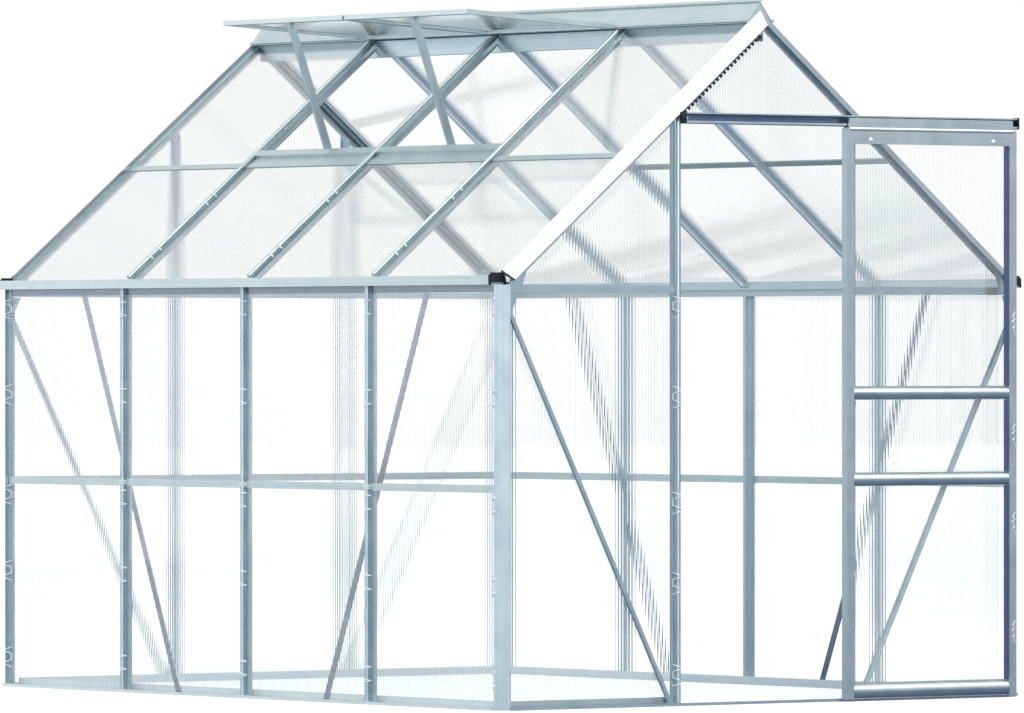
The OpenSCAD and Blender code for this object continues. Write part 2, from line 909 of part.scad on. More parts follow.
module rear_gable_sheets() {
    split = strip_t / 2 + fit;
    rail_z = eave_height - rail_h / 2;
    color(sheet_colour) in_place() on_gable(1) {
        for (span = [[base_t, strip_z - split], [strip_z + split, rail_z - split]]) {
            gable_sheets_outer(span[0], span[1]);
            gable_sheet_middle(span[0], span[1]);
        }
        gable_peak_outer(rail_z + split);
        gable_peak_middle(rail_z + split);
    }
}

// Roof sheets; the bays in open_bays keep only their lower sheet
module roof_sheets(open_bays) {
    split = strip_t / 2 + fit;
    on_slope()
        for (k = [0:side_bays - 1]) {
            block([strip_s + split, bay_start(k), 0], [slope_len, bay_end(k), sheet_t]);
            if (len(search(k, open_bays)) == 0)
                block([sheet_top_s, bay_start(k), 0], [strip_s - split, bay_end(k), sheet_t]);
        }
}

module roof_sheets_left() {
    color(sheet_colour) in_place() on_side(-1) roof_sheets(vent_bays);
}

module roof_sheets_right() {
    color(sheet_colour) in_place() on_side(1) roof_sheets([]);
}

// Door track, a channel that opens to the front between two lips
module door_track() {
    mouth = track_h - low_lip_h - top_lip_h;
    color(aluminium) in_place()
        along_x(track_left, track_right)
            translate([front_y - track_front, track_bottom])
                difference() {
                    square([track_depth, track_h]);
                    translate([track_t, track_t])
                        square([track_depth - 2 * track_t, track_h - 2 * track_t]);
                    translate([-overrun, low_lip_h]) square([overrun + 2 * track_t, mouth]);
                }
}

module track_end_caps() {
    color(black_plastic) in_place()
        for (x = [track_left - track_cap_l, track_right])
            block([x, front_y - track_front - cap_over, track_bottom - cap_over],
                [x + track_cap_l, front_y - track_back, track_top + cap_over]);
}

// Door, drawn closed and then slid open
module door_open() {
    in_place() translate([door_travel, front_y - door_mid, 0]) children();
}

// Groove for the sheets, open towards the middle of the door
module sheet_slot(x0, x1, z0, z1) {
    half = sheet_t / 2 + fit;
    block([x0, -half, z0], [x1, half, z1]);
}

// Stiles; an outer tongue rises beside the ends of the hanger plate
module door_stiles() {
    inner = door_w / 2 - stile_w;
    tongue = door_w / 2 - hanger_inset + fit;
    stile_top = head_top - fit;
    color(bright_aluminium) door_open()
        for (side = [-1, 1]) on_side(side)
            difference() {
                union() {
                    block([inner, -door_t / 2, door_bottom], [door_w / 2, door_t / 2, stile_top]);
                    block([tongue, -door_t / 2, door_bottom], [door_w / 2, door_t / 2, door_top]);
                }
                sheet_slot(inner - overrun, inner + groove_d, door_bottom - overrun, stile_top + overrun);
            }
}

// Hanger plate in front of the track, with the rounded strip along its foot
module hanger_profile() {
    back = door_mid - hanger_back;
    translate([back - hanger_t, head_top]) square([hanger_t, hanger_top - head_top]);
    intersection() {
        translate([back, head_top + head_strip_d / 2]) circle(d = head_strip_d, $fn = bead_fn);
        translate([back - head_strip_d, head_top]) square([head_strip_d, head_strip_d]);
    }
}

module door_head_rail() {
    reach = door_w / 2 - stile_w - fit;
    over = door_w / 2 - hanger_inset;
    color(bright_aluminium) door_open() {
        along_x(-over, over) hanger_profile();
        difference() {
            along_x(-reach, reach) {
                hanger_profile();
                translate([-door_t / 2, head_bottom]) square([door_t, head_h]);
            }
            sheet_slot(-reach - overrun, reach + overrun, head_bottom - overrun, head_bottom + groove_d);
        }
    }
}

// Rail with a rounded front between the stiles
module half_round_rail(z0, z1, grooves) {
    reach = door_w / 2 - stile_w - fit;
    high = z1 - z0;
    difference() {
        along_x(-reach, reach)
            translate([0, (z0 + z1) / 2]) {
                intersection() {
                    translate([high / 2 - door_t / 2, 0]) circle(d = high, $fn = 2 * bead_fn);
                    translate([-door_t / 2, -high / 2]) square([door_t / 2, high]);
                }
                translate([-fit, -high / 2]) square([door_t / 2 + fit, high]);
            }
        for (groove = grooves)
            sheet_slot(-reach - overrun, reach + overrun, groove[0], groove[1]);
    }
}

module door_rails() {
    color(bright_aluminium) door_open() {
        half_round_rail(door_bottom, bottom_top, [[bottom_top - groove_d, bottom_top + overrun]]);
        for (z = [cross_low_z, cross_high_z]) {
            low = z - cross_h / 2;
            high = z + cross_h / 2;
            half_round_rail(low, high,
                [[low - overrun, low + groove_d], [high - groove_d, high + overrun]]);
        }
    }
}

module door_sheets() {
    reach = groove_d - fit;
    half = cross_h / 2;
    spans = [
        [bottom_top - reach, cross_low_z - half + reach],
        [cross_low_z + half - reach, cross_high_z - half + reach],
        [cross_high_z + half - reach, head_bottom + reach]
    ];
    color(sheet_colour) door_open()
        for (span = spans)
            block([-door_sheet_w / 2, -sheet_t / 2, span[0]], [door_sheet_w / 2, sheet_t / 2, span[1]]);
}

// Rollers inside the track, each on an axle from the back of the hanger plate
module door_rollers() {
    wheel_back = track_back + track_t + roller_gap;
    axle_end = hanger_back - fit;
    color(black_plastic) door_open()
        for (side = [-1, 1])
            translate([side * roller_x, door_mid, roller_z]) rotate([90, 0, 0])
                translate([0, 0, wheel_back]) {
                    cylinder(d = roller_d, h = roller_w, $fn = bead_fn);
                    cylinder(d = axle_d, h = axle_end - wheel_back, $fn = bead_fn);
                }
}

base_rail_left();
base_rail_right();
base_rail_front();
base_rail_rear();
corner_posts_front();
corner_posts_rear();
side_bars_left();
side_bars_right();
door_posts();
rear_gable_bars();
eave_gutter_left();
eave_gutter_right();
gutter_end_caps();
gable_rails_front();
gable_rails_rear();
rafter_front_left();
rafter_front_right();
rafter_rear_left();
rafter_rear_right();
roof_bars_left();
roof_bars_right();
ridge_beam();
ridge_cap();
joint_strips_sides();
joint_strips_rear();
joint_strips_roof();
vent_sills();
vent_frames();
vent_sheets();
vent_stays();
side_braces();
gable_braces();
corner_gussets();
side_sheets_left();
side_sheets_right();
front_gable_sheets();
rear_gable_sheets();
roof_sheets_left();
roof_sheets_right();
door_track();
track_end_caps();
door_stiles();
door_head_rail();
door_rails();
door_sheets();
door_rollers();
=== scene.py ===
# %% [markdown]
# # A greenhouse of aluminium bars and twin-wall sheets
# The building arrives as a fixed frame of solids: rails, posts, bars, sheets, a sliding door. Here it gets
# its finishes, and the small things that a fitter adds on site, such as wire clips and bolts.

# %% The frame
import math

import bpy
import numpy as np
from mathutils import Matrix, Vector


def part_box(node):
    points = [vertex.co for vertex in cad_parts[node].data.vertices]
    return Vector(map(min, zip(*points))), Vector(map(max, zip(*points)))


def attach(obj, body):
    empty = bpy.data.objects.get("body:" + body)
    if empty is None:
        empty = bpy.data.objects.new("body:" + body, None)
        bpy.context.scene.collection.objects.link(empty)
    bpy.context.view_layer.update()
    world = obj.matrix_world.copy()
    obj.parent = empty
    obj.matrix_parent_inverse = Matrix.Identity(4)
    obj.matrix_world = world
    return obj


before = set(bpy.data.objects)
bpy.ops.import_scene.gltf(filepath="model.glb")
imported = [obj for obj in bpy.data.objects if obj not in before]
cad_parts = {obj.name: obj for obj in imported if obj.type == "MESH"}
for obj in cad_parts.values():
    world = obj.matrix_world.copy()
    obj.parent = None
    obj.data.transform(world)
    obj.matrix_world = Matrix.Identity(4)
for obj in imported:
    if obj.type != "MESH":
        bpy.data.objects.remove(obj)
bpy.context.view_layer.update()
scene = bpy.context.scene

# %% [markdown]
# ## Where things are
# Every place is read from the solids themselves, so that a clip still sits on its bar after a change of
# size. A node can hold several solids that don't touch. Their triangles are loose, so corners in the same
# place are counted as one before the solids are told apart.

# %% Places
MM = 0.001
front_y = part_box("corner_posts_front")[0][1]
rear_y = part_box("corner_posts_rear")[1][1]
half_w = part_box("corner_posts_front")[1][0]
eave_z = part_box("corner_posts_front")[1][2]
SAME_PLACE_DIGITS = 5


def solids(node):
    """The corners of each solid in a node, as arrays of points."""
    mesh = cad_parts[node].data
    points = np.empty(len(mesh.vertices) * 3)
    mesh.vertices.foreach_get("co", points)
    rounded = np.round(points.reshape(-1, 3), SAME_PLACE_DIGITS)
    corners, where = np.unique(rounded, axis=0, return_inverse=True)
    where = where.ravel()
    group = np.arange(len(corners))
    sides = [where[list(face.vertices)] for face in mesh.polygons]
    moved = True
    while moved:
        moved = False
        for side in sides:
            low = group[side].min()
            if (group[side] != low).any():
                group[side] = low
                moved = True
    return [corners[group == g] for g in np.unique(group)]


print("walls from", round(front_y, 4), "to", round(rear_y, 4), "eaves at", round(eave_z, 4))

# %% [markdown]
# ## Three small tools
# Colours are written as the eye reads them, in sRGB hex, and the shader wants linear light. One function
# turns the first into the second, one adds a node with its settings and links, and one starts a material.

# %% Colour and node helpers
def linear(hex_colour):
    """An sRGB hex colour as linear RGBA."""
    parts = [int(hex_colour[i:i + 2], 16) / 255 for i in (1, 3, 5)]
    return [p / 12.92 if p <= 0.04045 else ((p + 0.055) / 1.055) ** 2.4 for p in parts] + [1.0]


def add(tree, kind, inputs=None, **settings):
    """Adds a node; inputs names sockets, each with a value or with another node's output."""
    made = tree.nodes.new(kind)
    for name, value in settings.items():
        setattr(made, name, value)
    for key, value in (inputs or {}).items():
        if isinstance(value, bpy.types.NodeSocket):
            tree.links.new(value, made.inputs[key])
        else:
            made.inputs[key].default_value = value
    return made


def start_material(name):
    """An empty material and its node tree."""
    material = bpy.data.materials.new(name)
    material.use_nodes = True
    tree = material.node_tree
    tree.nodes.clear()
    return material, tree


# %% [markdown]
# ## Aluminium, as it leaves the die
# The bars are extruded and left in mill finish. The die leaves faint lines along the bar, and handling
# leaves soft cloudy patches. The lines run along each bar, so the finish takes the direction of the bar:
# a noise that is stretched along it gives streaks about 2 mm apart, drawn coarser than real so that they
# show.

# %% Mill-finish aluminium
LINE_GAP = 2.0 * MM
LINE_DEPTH = 0.4 * MM
LINE_NOISE, LINE_DETAIL, LINES_STRENGTH = 0.5, 3.0, 0.06
CHANGES_PER_METRE = 3.0
PATCHES_PER_METRE, PATCH_DETAIL = 14.0, 4.0
STREAK_FROM, STREAK_FULL = 0.7, 1.3
SMOOTHER, ROUGHER = 0.07, 0.09


def mill_aluminium(name, base, streak, turn, metallic=0.85, roughness=0.34):
    """Extruded aluminium whose die lines run along Z once its coordinates are turned by turn."""
    material, tree = start_material(name)
    where = add(tree, "ShaderNodeTexCoord").outputs["Object"]
    along = add(tree, "ShaderNodeMapping", {"Vector": where, "Rotation": turn})
    fine = add(tree, "ShaderNodeMapping", {
        "Vector": along.outputs["Vector"], "Scale": (1 / LINE_GAP, 1 / LINE_GAP, CHANGES_PER_METRE)})
    lines = add(tree, "ShaderNodeTexNoise", {
        "Vector": fine.outputs["Vector"], "Scale": LINE_NOISE, "Detail": LINE_DETAIL})
    clouds = add(tree, "ShaderNodeTexNoise", {
        "Vector": where, "Scale": PATCHES_PER_METRE, "Detail": PATCH_DETAIL})
    both = add(tree, "ShaderNodeMath", {0: lines.outputs["Fac"], 1: clouds.outputs["Fac"]}, operation="ADD")
    share = add(tree, "ShaderNodeMapRange", {
        "Value": both.outputs["Value"], "From Min": STREAK_FROM, "From Max": STREAK_FULL})
    colour = add(tree, "ShaderNodeMix", {
        "Factor": share.outputs["Result"], "A": linear(base), "B": linear(streak)}, data_type="RGBA")
    rough = add(tree, "ShaderNodeMapRange", {
        "Value": clouds.outputs["Fac"], "To Min": roughness - SMOOTHER, "To Max": roughness + ROUGHER})
    bump = add(tree, "ShaderNodeBump", {
        "Height": lines.outputs["Fac"], "Strength": LINES_STRENGTH, "Distance": LINE_DEPTH})
    skin = add(tree, "ShaderNodeBsdfPrincipled", {
        "Base Color": colour.outputs["Result"], "Metallic": metallic, "Roughness": rough.outputs["Result"],
        "Normal": bump.outputs["Normal"]})
    add(tree, "ShaderNodeOutputMaterial", {"Surface": skin.outputs["BSDF"]})
    return material


# %% [markdown]
# ### One metal, plain, bright, with painted light and with painted shade
# The same alloy comes in four colours: plain, bright, a paler, less metallic copy that is painted light, and
# a darker copy that is painted shade. Each is made once for every direction in which a bar runs, because the
# lines have to follow the bar.

# %% Aluminium in its states and directions
SLOPE = math.atan2(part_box("rafter_front_right")[1][2] - eave_z, half_w)
UPRIGHT = (0.0, 0.0, 0.0)
ALONG_Y = (math.pi / 2, 0.0, 0.0)
ACROSS_X = (0.0, math.pi / 2, 0.0)
DOWN_RIGHT = (0.0, math.pi / 2 - SLOPE, 0.0)
DOWN_LEFT = (0.0, SLOPE - math.pi / 2, 0.0)
PLAIN = ("#b2c2ca", "#c7d4d7")
BRIGHT = ("#b6c3c6", "#cad4d4")
# The paler pair is painted light, the darker pair painted shade; both are copies of the plain metal.
PAINTED_LIGHT = ("#dbe3e7", "#e8edee")
PAINTED_SHADE = ("#6b788c", "#8592a2")
PAINTED_LIGHT_METALLIC = 0.4
finishes = {
    "upright": mill_aluminium("mill aluminium upright", *PLAIN, UPRIGHT),
    "along": mill_aluminium("mill aluminium along the walls", *PLAIN, ALONG_Y),
    "across": mill_aluminium("mill aluminium across the gables", *PLAIN, ACROSS_X),
    "bright_upright": mill_aluminium("bright aluminium upright", *BRIGHT, UPRIGHT),
    "bright_along": mill_aluminium("bright aluminium along the walls", *BRIGHT, ALONG_Y),
    "bright_across": mill_aluminium("bright aluminium across the gables", *BRIGHT, ACROSS_X),
    "bright_right": mill_aluminium("bright aluminium down the right slope", *BRIGHT, DOWN_RIGHT),
    "bright_left": mill_aluminium("bright aluminium down the left slope", *BRIGHT, DOWN_LEFT),
    "painted_light_along": mill_aluminium(
        "aluminium with painted light along the walls", *PAINTED_LIGHT, ALONG_Y, PAINTED_LIGHT_METALLIC),
    "painted_light_across": mill_aluminium(
        "aluminium with painted light across the gables", *PAINTED_LIGHT, ACROSS_X, PAINTED_LIGHT_METALLIC),
    "painted_light_right": mill_aluminium(
        "aluminium with painted light down the right slope", *PAINTED_LIGHT, DOWN_RIGHT, PAINTED_LIGHT_METALLIC),
    "painted_shade_upright": mill_aluminium("aluminium with painted shade upright", *PAINTED_SHADE, UPRIGHT),
    "painted_shade_along": mill_aluminium("aluminium with painted shade along the walls", *PAINTED_SHADE, ALONG_Y),
}
print("aluminium finishes:", len(finishes))

# %% [markdown]
# ## Twin-wall polycarbonate
# The sheet is two thin clear skins on ribs. Between two ribs each skin sags a little as it cools, so every
# flute is a weak lens: what stands close behind it stays sharp, and what stands far behind it is smeared
# sideways and doubled. A sine bump of one flute's period bends the refracted rays in that way. Only what the
# eye sees is bent. Rays to the lamps, and rays that metal scatters, pass straight through, which keeps the
# inside bright without caustics. The roof sheets carry a coating against the sun, so they are a touch greyer.

# %% Clear sheets
FLUTE = 11.0 * MM
SAG = 0.03 * MM
WAVE_PERIOD = math.pi / 10
POLYCARBONATE_IOR = 1.585
CLEAR_TINT, ROOF_TINT, PASSING_TINT = "#fbfdfd", "#f9fbfa", "#f2f5f6"


def seen_directly(tree):
    """1 for rays from the camera and rays that a sheet bends or mirrors, 0 for those that metal scatters."""
    rays = add(tree, "ShaderNodeLightPath").outputs
    return add(tree, "ShaderNodeMath", {0: rays["Is Camera Ray"], 1: rays["Is Singular Ray"]},
               operation="MAXIMUM").outputs["Value"]


def fluted_sheet(name, across, tint=CLEAR_TINT):
    """Clear polycarbonate skins whose flutes follow one another along the axis across."""
    material, tree = start_material(name)
    where = add(tree, "ShaderNodeTexCoord").outputs["Object"]
    flutes = add(tree, "ShaderNodeTexWave", {"Vector": where, "Scale": WAVE_PERIOD / FLUTE},
                 bands_direction=across)
    bump = add(tree, "ShaderNodeBump", {"Height": flutes.outputs["Fac"], "Strength": 1.0, "Distance": SAG})
    skin = add(tree, "ShaderNodeBsdfPrincipled", {
        "Base Color": linear(tint), "Roughness": 0.0, "IOR": POLYCARBONATE_IOR, "Transmission Weight": 1.0,
        "Normal": bump.outputs["Normal"]})
    clear = add(tree, "ShaderNodeBsdfTransparent", {"Color": linear(PASSING_TINT)})
    both = add(tree, "ShaderNodeMixShader", {
        0: seen_directly(tree), 1: clear.outputs["BSDF"], 2: skin.outputs["BSDF"]})
    add(tree, "ShaderNodeOutputMaterial", {"Surface": both.outputs["Shader"]})
    return material


def rib_plastic(name):
    """The ribs are seen edge on, as a faint grey hatch, and let most light by."""
    material, tree = start_material(name)
    rib = add(tree, "ShaderNodeBsdfPrincipled", {
        "Base Color": linear("#7f889c"), "Roughness": 0.4, "IOR": POLYCARBONATE_IOR, "Alpha": 0.05})
    add(tree, "ShaderNodeOutputMaterial", {"Surface": rib.outputs["BSDF"]})
    return material


wall_skin = fluted_sheet("twin-wall polycarbonate, flutes along the walls", "Y")
gable_skin = fluted_sheet("twin-wall polycarbonate, flutes across the gables", "X")
roof_skin = fluted_sheet("twin-wall polycarbonate, coated against the sun", "Y", ROOF_TINT)
rib_finish = rib_plastic("milky polycarbonate rib")
print("flutes every", FLUTE / MM, "mm")

# %% [markdown]
# ## Moulded plastic
# End caps and rollers are injection-moulded polypropylene. A spark-eroded mould leaves a fine grain that
# breaks up the shine, so a noise of the grain's size drives both the colour and a slight bump.

# %% Black polypropylene
GRAIN = 0.6 * MM
GRAIN_DEPTH = 0.2 * MM
GRAIN_DETAIL, GRAIN_STRENGTH = 2.0, 0.2
MOULDED_ROUGHNESS, MOULDED_IOR = 0.42, 1.49


def moulded(name, dark, light):
    """Moulded polypropylene or rubber with the grain of its mould."""
    material, tree = start_material(name)
    where = add(tree, "ShaderNodeTexCoord").outputs["Object"]
    grain = add(tree, "ShaderNodeTexNoise", {"Vector": where, "Scale": 1 / GRAIN, "Detail": GRAIN_DETAIL})
    colour = add(tree, "ShaderNodeMix", {
        "Factor": grain.outputs["Fac"], "A": linear(dark), "B": linear(light)}, data_type="RGBA")
    bump = add(tree, "ShaderNodeBump", {
        "Height": grain.outputs["Fac"], "Strength": GRAIN_STRENGTH, "Distance": GRAIN_DEPTH})
    skin = add(tree, "ShaderNodeBsdfPrincipled", {
        "Base Color": colour.outputs["Result"], "Roughness": MOULDED_ROUGHNESS, "IOR": MOULDED_IOR,
        "Normal": bump.outputs["Normal"]})
    add(tree, "ShaderNodeOutputMaterial", {"Surface": skin.outputs["BSDF"]})
    return material


# This black also paints the shade in the mouths of the flutes.
black_plastic_and_painted_shade = moulded("black moulded polypropylene and painted shade", "#070a14", "#161b2a")
print("moulded plastic with a grain of", GRAIN / MM, "mm")

# %% [markdown]
# ## Dressing the solids
# A solid keeps its mesh and only gets a material. The list goes by finish, so that one glance shows which
# pieces share one.

# %% Finishes on the solids
ON_SOLIDS = {
    "upright": ["corner_posts_front", "corner_posts_rear", "side_bars_left", "side_bars_right",
                "door_posts", "rear_gable_bars", "gable_braces", "corner_gussets"],
    # The braces inside the side walls get painted shade.
    "painted_shade_upright": ["side_braces"],
    "along": ["ridge_beam"],
    # The side and rear base rails get painted light.
    "painted_light_along": ["base_rail_left", "base_rail_right"],
    "painted_light_across": ["base_rail_rear"],
    "across": ["base_rail_front", "gable_rails_front", "gable_rails_rear", "door_track"],
    "bright_upright": ["door_stiles", "vent_stays"],
    "bright_along": ["eave_gutter_left", "eave_gutter_right", "ridge_cap", "joint_strips_sides",
                     "joint_strips_roof", "vent_sills"],
    "bright_across": ["joint_strips_rear", "door_head_rail", "door_rails", "vent_frames"],
    "bright_right": ["rafter_front_right", "rafter_rear_right"],
    # The right slope's roof bars get painted light; the same bars on the left slope stay bright.
    "painted_light_right": ["roof_bars_right"],
    "bright_left": ["rafter_front_left", "rafter_rear_left", "roof_bars_left"],
}
SKINS = {
    "side_sheets_left": wall_skin, "side_sheets_right": wall_skin,
    "front_gable_sheets": gable_skin, "rear_gable_sheets": gable_skin,
    "roof_sheets_left": roof_skin, "roof_sheets_right": roof_skin,
    "vent_sheets": wall_skin, "door_sheets": gable_skin,
}
MOULDED_NODES = ("gutter_end_caps", "track_end_caps", "door_rollers")


def dress(node, material):
    """Gives a whole solid one finish."""
    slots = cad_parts[node].data.materials
    slots.clear()
    slots.append(material)


for finish, names in ON_SOLIDS.items():
    for name in names:
        dress(name, finishes[finish])
for name, skin in SKINS.items():
    dress(name, skin)
for name in MOULDED_NODES:
    dress(name, black_plastic_and_painted_shade)
print("dressed:", sum(len(names) for names in ON_SOLIDS.values()) + len(SKINS) + len(MOULDED_NODES))

# %% [markdown]
# ## Ribs between the skins
# Inside each sheet stand thin ribs, 11 mm apart, that run down the walls, down the slopes and out along the
# vents. They are what makes the sheet look hatched. A point cloud holds one point for each rib, with its
# length and its turn, and a node tree puts a thin box on each point.

# %% Node tree for ribs
def start_tree(name, sockets):
    """A geometry tree with named inputs, and the outputs of its input node."""
    tree = bpy.data.node_groups.new(name, "GeometryNodeTree")
    tree.interface.new_socket("Geometry", in_out="INPUT", socket_type="NodeSocketGeometry")
    for label, kind in sockets:
        tree.interface.new_socket(label, in_out="INPUT", socket_type=kind)
    tree.interface.new_socket("Geometry", in_out="OUTPUT", socket_type="NodeSocketGeometry")
    return tree, add(tree, "NodeGroupInput").outputs


def end_tree(tree, instances, material):
    """Closes a tree with real geometry in one material."""
    real = add(tree, "GeometryNodeRealizeInstances", {"Geometry": instances})
    done = add(tree, "GeometryNodeSetMaterial", {"Geometry": real.outputs["Geometry"], "Material": material})
    add(tree, "NodeGroupOutput", {"Geometry": done.outputs["Geometry"]})
    return tree


def turned_points(tree, points, shape, scale):
    """Instances of a shape on points, each turned by the attribute turn."""
    turn = add(tree, "GeometryNodeInputNamedAttribute", {"Name": "turn"}, data_type="FLOAT_VECTOR")
    spin = add(tree, "FunctionNodeEulerToRotation", {"Euler": turn.outputs["Attribute"]})
    placed = add(tree, "GeometryNodeInstanceOnPoints", {
        "Points": points, "Instance": shape, "Rotation": spin.outputs["Rotation"], "Scale": scale})
    return placed.outputs["Instances"]


def rib_tree():
    """A box on each point, as long as the attribute reach."""
    tree, given = start_tree("Twin-wall ribs", [
        ("Rib thickness", "NodeSocketFloat"), ("Rib depth", "NodeSocketFloat"),
        ("Material", "NodeSocketMaterial")])
    reach = add(tree, "GeometryNodeInputNamedAttribute", {"Name": "reach"}, data_type="FLOAT")
    size = add(tree, "ShaderNodeCombineXYZ", {
        "X": given["Rib thickness"], "Y": given["Rib depth"], "Z": reach.outputs["Attribute"]})
    rib = add(tree, "GeometryNodeMeshCube", {"Size": (1.0, 1.0, 1.0)})
    placed = turned_points(tree, given["Geometry"], rib.outputs["Mesh"], size.outputs["Vector"])
    return end_tree(tree, placed, given["Material"])


def grow(name, tree, points, turns, sizes, reaches=None):
    """Runs points through a tree and returns what comes out as a plain mesh object."""
    cloud = bpy.data.meshes.new(name + "_points")
    cloud.from_pydata([tuple(p) for p in points], [], [])
    cloud.attributes.new("turn", "FLOAT_VECTOR", "POINT").data.foreach_set(
        "vector", np.array(turns, dtype=np.float32).ravel())
    if reaches is not None:
        cloud.attributes.new("reach", "FLOAT", "POINT").data.foreach_set(
            "value", np.array(reaches, dtype=np.float32))
    seed = bpy.data.objects.new(name + "_seed", cloud)
    scene.collection.objects.link(seed)
    steps = seed.modifiers.new("Nodes", "NODES")
    steps.node_group = tree
    for item in tree.interface.items_tree:
        if item.in_out == "INPUT" and item.name in sizes:
            steps[item.identifier] = sizes[item.name]
    seen = seed.evaluated_get(bpy.context.evaluated_depsgraph_get())
    mesh = bpy.data.meshes.new_from_object(seen)
    mesh.name = name
    bpy.data.objects.remove(seed)
    piece = bpy.data.objects.new(name, mesh)
    scene.collection.objects.link(piece)
    print(name, len(points), "points,", len(mesh.polygons), "faces")
    return piece


ribs = rib_tree()

# %% [markdown]
# ### Which way the ribs run
# On each sheet the ribs run down the fall of the water and stand square to the skin. For walls both
# directions are plain axes. The slopes turn them by the pitch of the roof, and the vents stand at an angle
# of their own, which is read from the two ends of a lid.

# %% Directions of the ribs
UP, OUT_X, OUT_Y = (0, 0, 1), (1, 0, 0), (0, 1, 0)
PITCH = math.radians(39.0)
LID_END_CORNERS = 4
DOWN = {
    "side_sheets_left": (UP, OUT_X), "side_sheets_right": (UP, OUT_X),
    "front_gable_sheets": (UP, OUT_Y), "rear_gable_sheets": (UP, OUT_Y), "door_sheets": (UP, OUT_Y),
}
lid = solids("vent_sheets")[0]
lid_edge = lid[lid[:, 0].argsort()]
low_end = lid_edge[-LID_END_CORNERS:].mean(axis=0)
high_end = lid_edge[:LID_END_CORNERS].mean(axis=0)
vent_out = (high_end - low_end) * np.array([1, 0, 1])
vent_out = vent_out / np.linalg.norm(vent_out)
DOWN["vent_sheets"] = (tuple(vent_out), (-vent_out[2], 0.0, vent_out[0]))
for name, side in (("roof_sheets_left", -1), ("roof_sheets_right", 1)):
    DOWN[name] = ((side * math.cos(PITCH), 0.0, -math.sin(PITCH)),
                  (side * math.sin(PITCH), 0.0, math.cos(PITCH)))
print("vents stand out along", [round(float(v), 3) for v in vent_out])

# %% [markdown]
# ### Ribs of every sheet
# A gable sheet has a sloping edge, so its ribs differ in length. Each sheet is laid flat, and a line at every
# flute is cut by the sheet's outline: where it enters and leaves are the ends of the rib.

# %% Ribs
RIB_T = 0.5 * MM
SKIN_T = 0.3 * MM
SHEET_T = 4.0 * MM
RIB_SHORTER = 1.0 * MM


def span_at(outline, u):
    """Where a line at u enters and leaves a convex outline of (u, v) points."""
    cuts = []
    for (u0, v0), (u1, v1) in zip(outline, np.roll(outline, -1, axis=0)):
        if (u0 - u) * (u1 - u) < 0:
            cuts.append(v0 + (v1 - v0) * (u - u0) / (u1 - u0))
    return (min(cuts), max(cuts)) if len(cuts) > 1 else None


def outline_of(flat):
    """The convex outline of flat points, in order."""
    middle = flat.mean(axis=0)
    flat = np.unique(np.round(flat, SAME_PLACE_DIGITS), axis=0)
    return flat[np.argsort(np.arctan2(flat[:, 1] - middle[1], flat[:, 0] - middle[0]))]


def ribs_for(node):
    """Middles, turns and lengths of the ribs in every sheet of a node."""
    along, out = (Vector(axis).normalized() for axis in DOWN[node])
    across = out.cross(along)
    turn = Matrix((across, out, along)).transposed().to_euler()
    middles, turns, reaches = [], [], []
    for sheet in solids(node):
        flat = outline_of(np.stack([sheet @ np.array(across), sheet @ np.array(along)], axis=1))
        depth = float((sheet @ np.array(out)).mean())
        count = int((flat[:, 0].max() - flat[:, 0].min()) / FLUTE)
        first = (flat[:, 0].max() + flat[:, 0].min() - (count - 1) * FLUTE) / 2
        for k in range(count):
            u = first + k * FLUTE
            ends = span_at(flat, u)
            if ends and ends[1] - ends[0] > FLUTE:
                middles.append(across * u + along * (sum(ends) / 2) + out * depth)
                turns.append(tuple(turn))
                reaches.append(ends[1] - ends[0] - RIB_SHORTER)
    return middles, turns, reaches


rib_sizes = {"Rib thickness": RIB_T, "Rib depth": SHEET_T - 2 * SKIN_T, "Material": rib_finish}
for name, nodes, body in (("wall_and_roof_ribs", [n for n in SKINS if n != "door_sheets"], "frame"),
                          ("door_ribs", ["door_sheets"], "door")):
    middles, turns, reaches = [], [], []
    for node in nodes:
        for whole, part in zip((middles, turns, reaches), ribs_for(node)):
            whole.extend(part)
    piece = grow(name, ribs, middles, turns, rib_sizes, reaches)
    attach(piece, body)

# %% [markdown]
# ## Rods and domes
# Clips are bent wire and bolts have domed heads. Each straight stretch of a wire is one point with a turn and
# a length, and a node tree sets a thin rod on it. A second tree sets a flattened ball on a point, of which
# the outer half shows as the dome.

# %% Node trees for rods and domes
ROD_SIDES = 8
DOME_SEGMENTS, DOME_RINGS = 20, 12
DOME_SHAPE = (1.0, 1.0, 0.6)


def rod_tree():
    """A rod on each point, as long as the attribute reach."""
    tree, given = start_tree("Rods", [("Radius", "NodeSocketFloat"), ("Material", "NodeSocketMaterial")])
    reach = add(tree, "GeometryNodeInputNamedAttribute", {"Name": "reach"}, data_type="FLOAT")
    size = add(tree, "ShaderNodeCombineXYZ", {"X": 1.0, "Y": 1.0, "Z": reach.outputs["Attribute"]})
    rod = add(tree, "GeometryNodeMeshCylinder", {
        "Vertices": ROD_SIDES, "Radius": given["Radius"], "Depth": 1.0})
    placed = turned_points(tree, given["Geometry"], rod.outputs["Mesh"], size.outputs["Vector"])
    return end_tree(tree, placed, given["Material"])


def dome_tree():
    """A flattened ball on each point."""
    tree, given = start_tree("Bolt domes", [
        ("Radius", "NodeSocketFloat"), ("Material", "NodeSocketMaterial")])
    dome = add(tree, "GeometryNodeMeshUVSphere", {
        "Segments": DOME_SEGMENTS, "Rings": DOME_RINGS, "Radius": given["Radius"]})
    placed = turned_points(tree, given["Geometry"], dome.outputs["Mesh"], DOME_SHAPE)
    return end_tree(tree, placed, given["Material"])


rods, domes = rod_tree(), dome_tree()


def turn_to(direction):
    """The turn that takes Z to a direction."""
    return tuple(Vector(direction).to_track_quat("Z", "Y").to_euler())


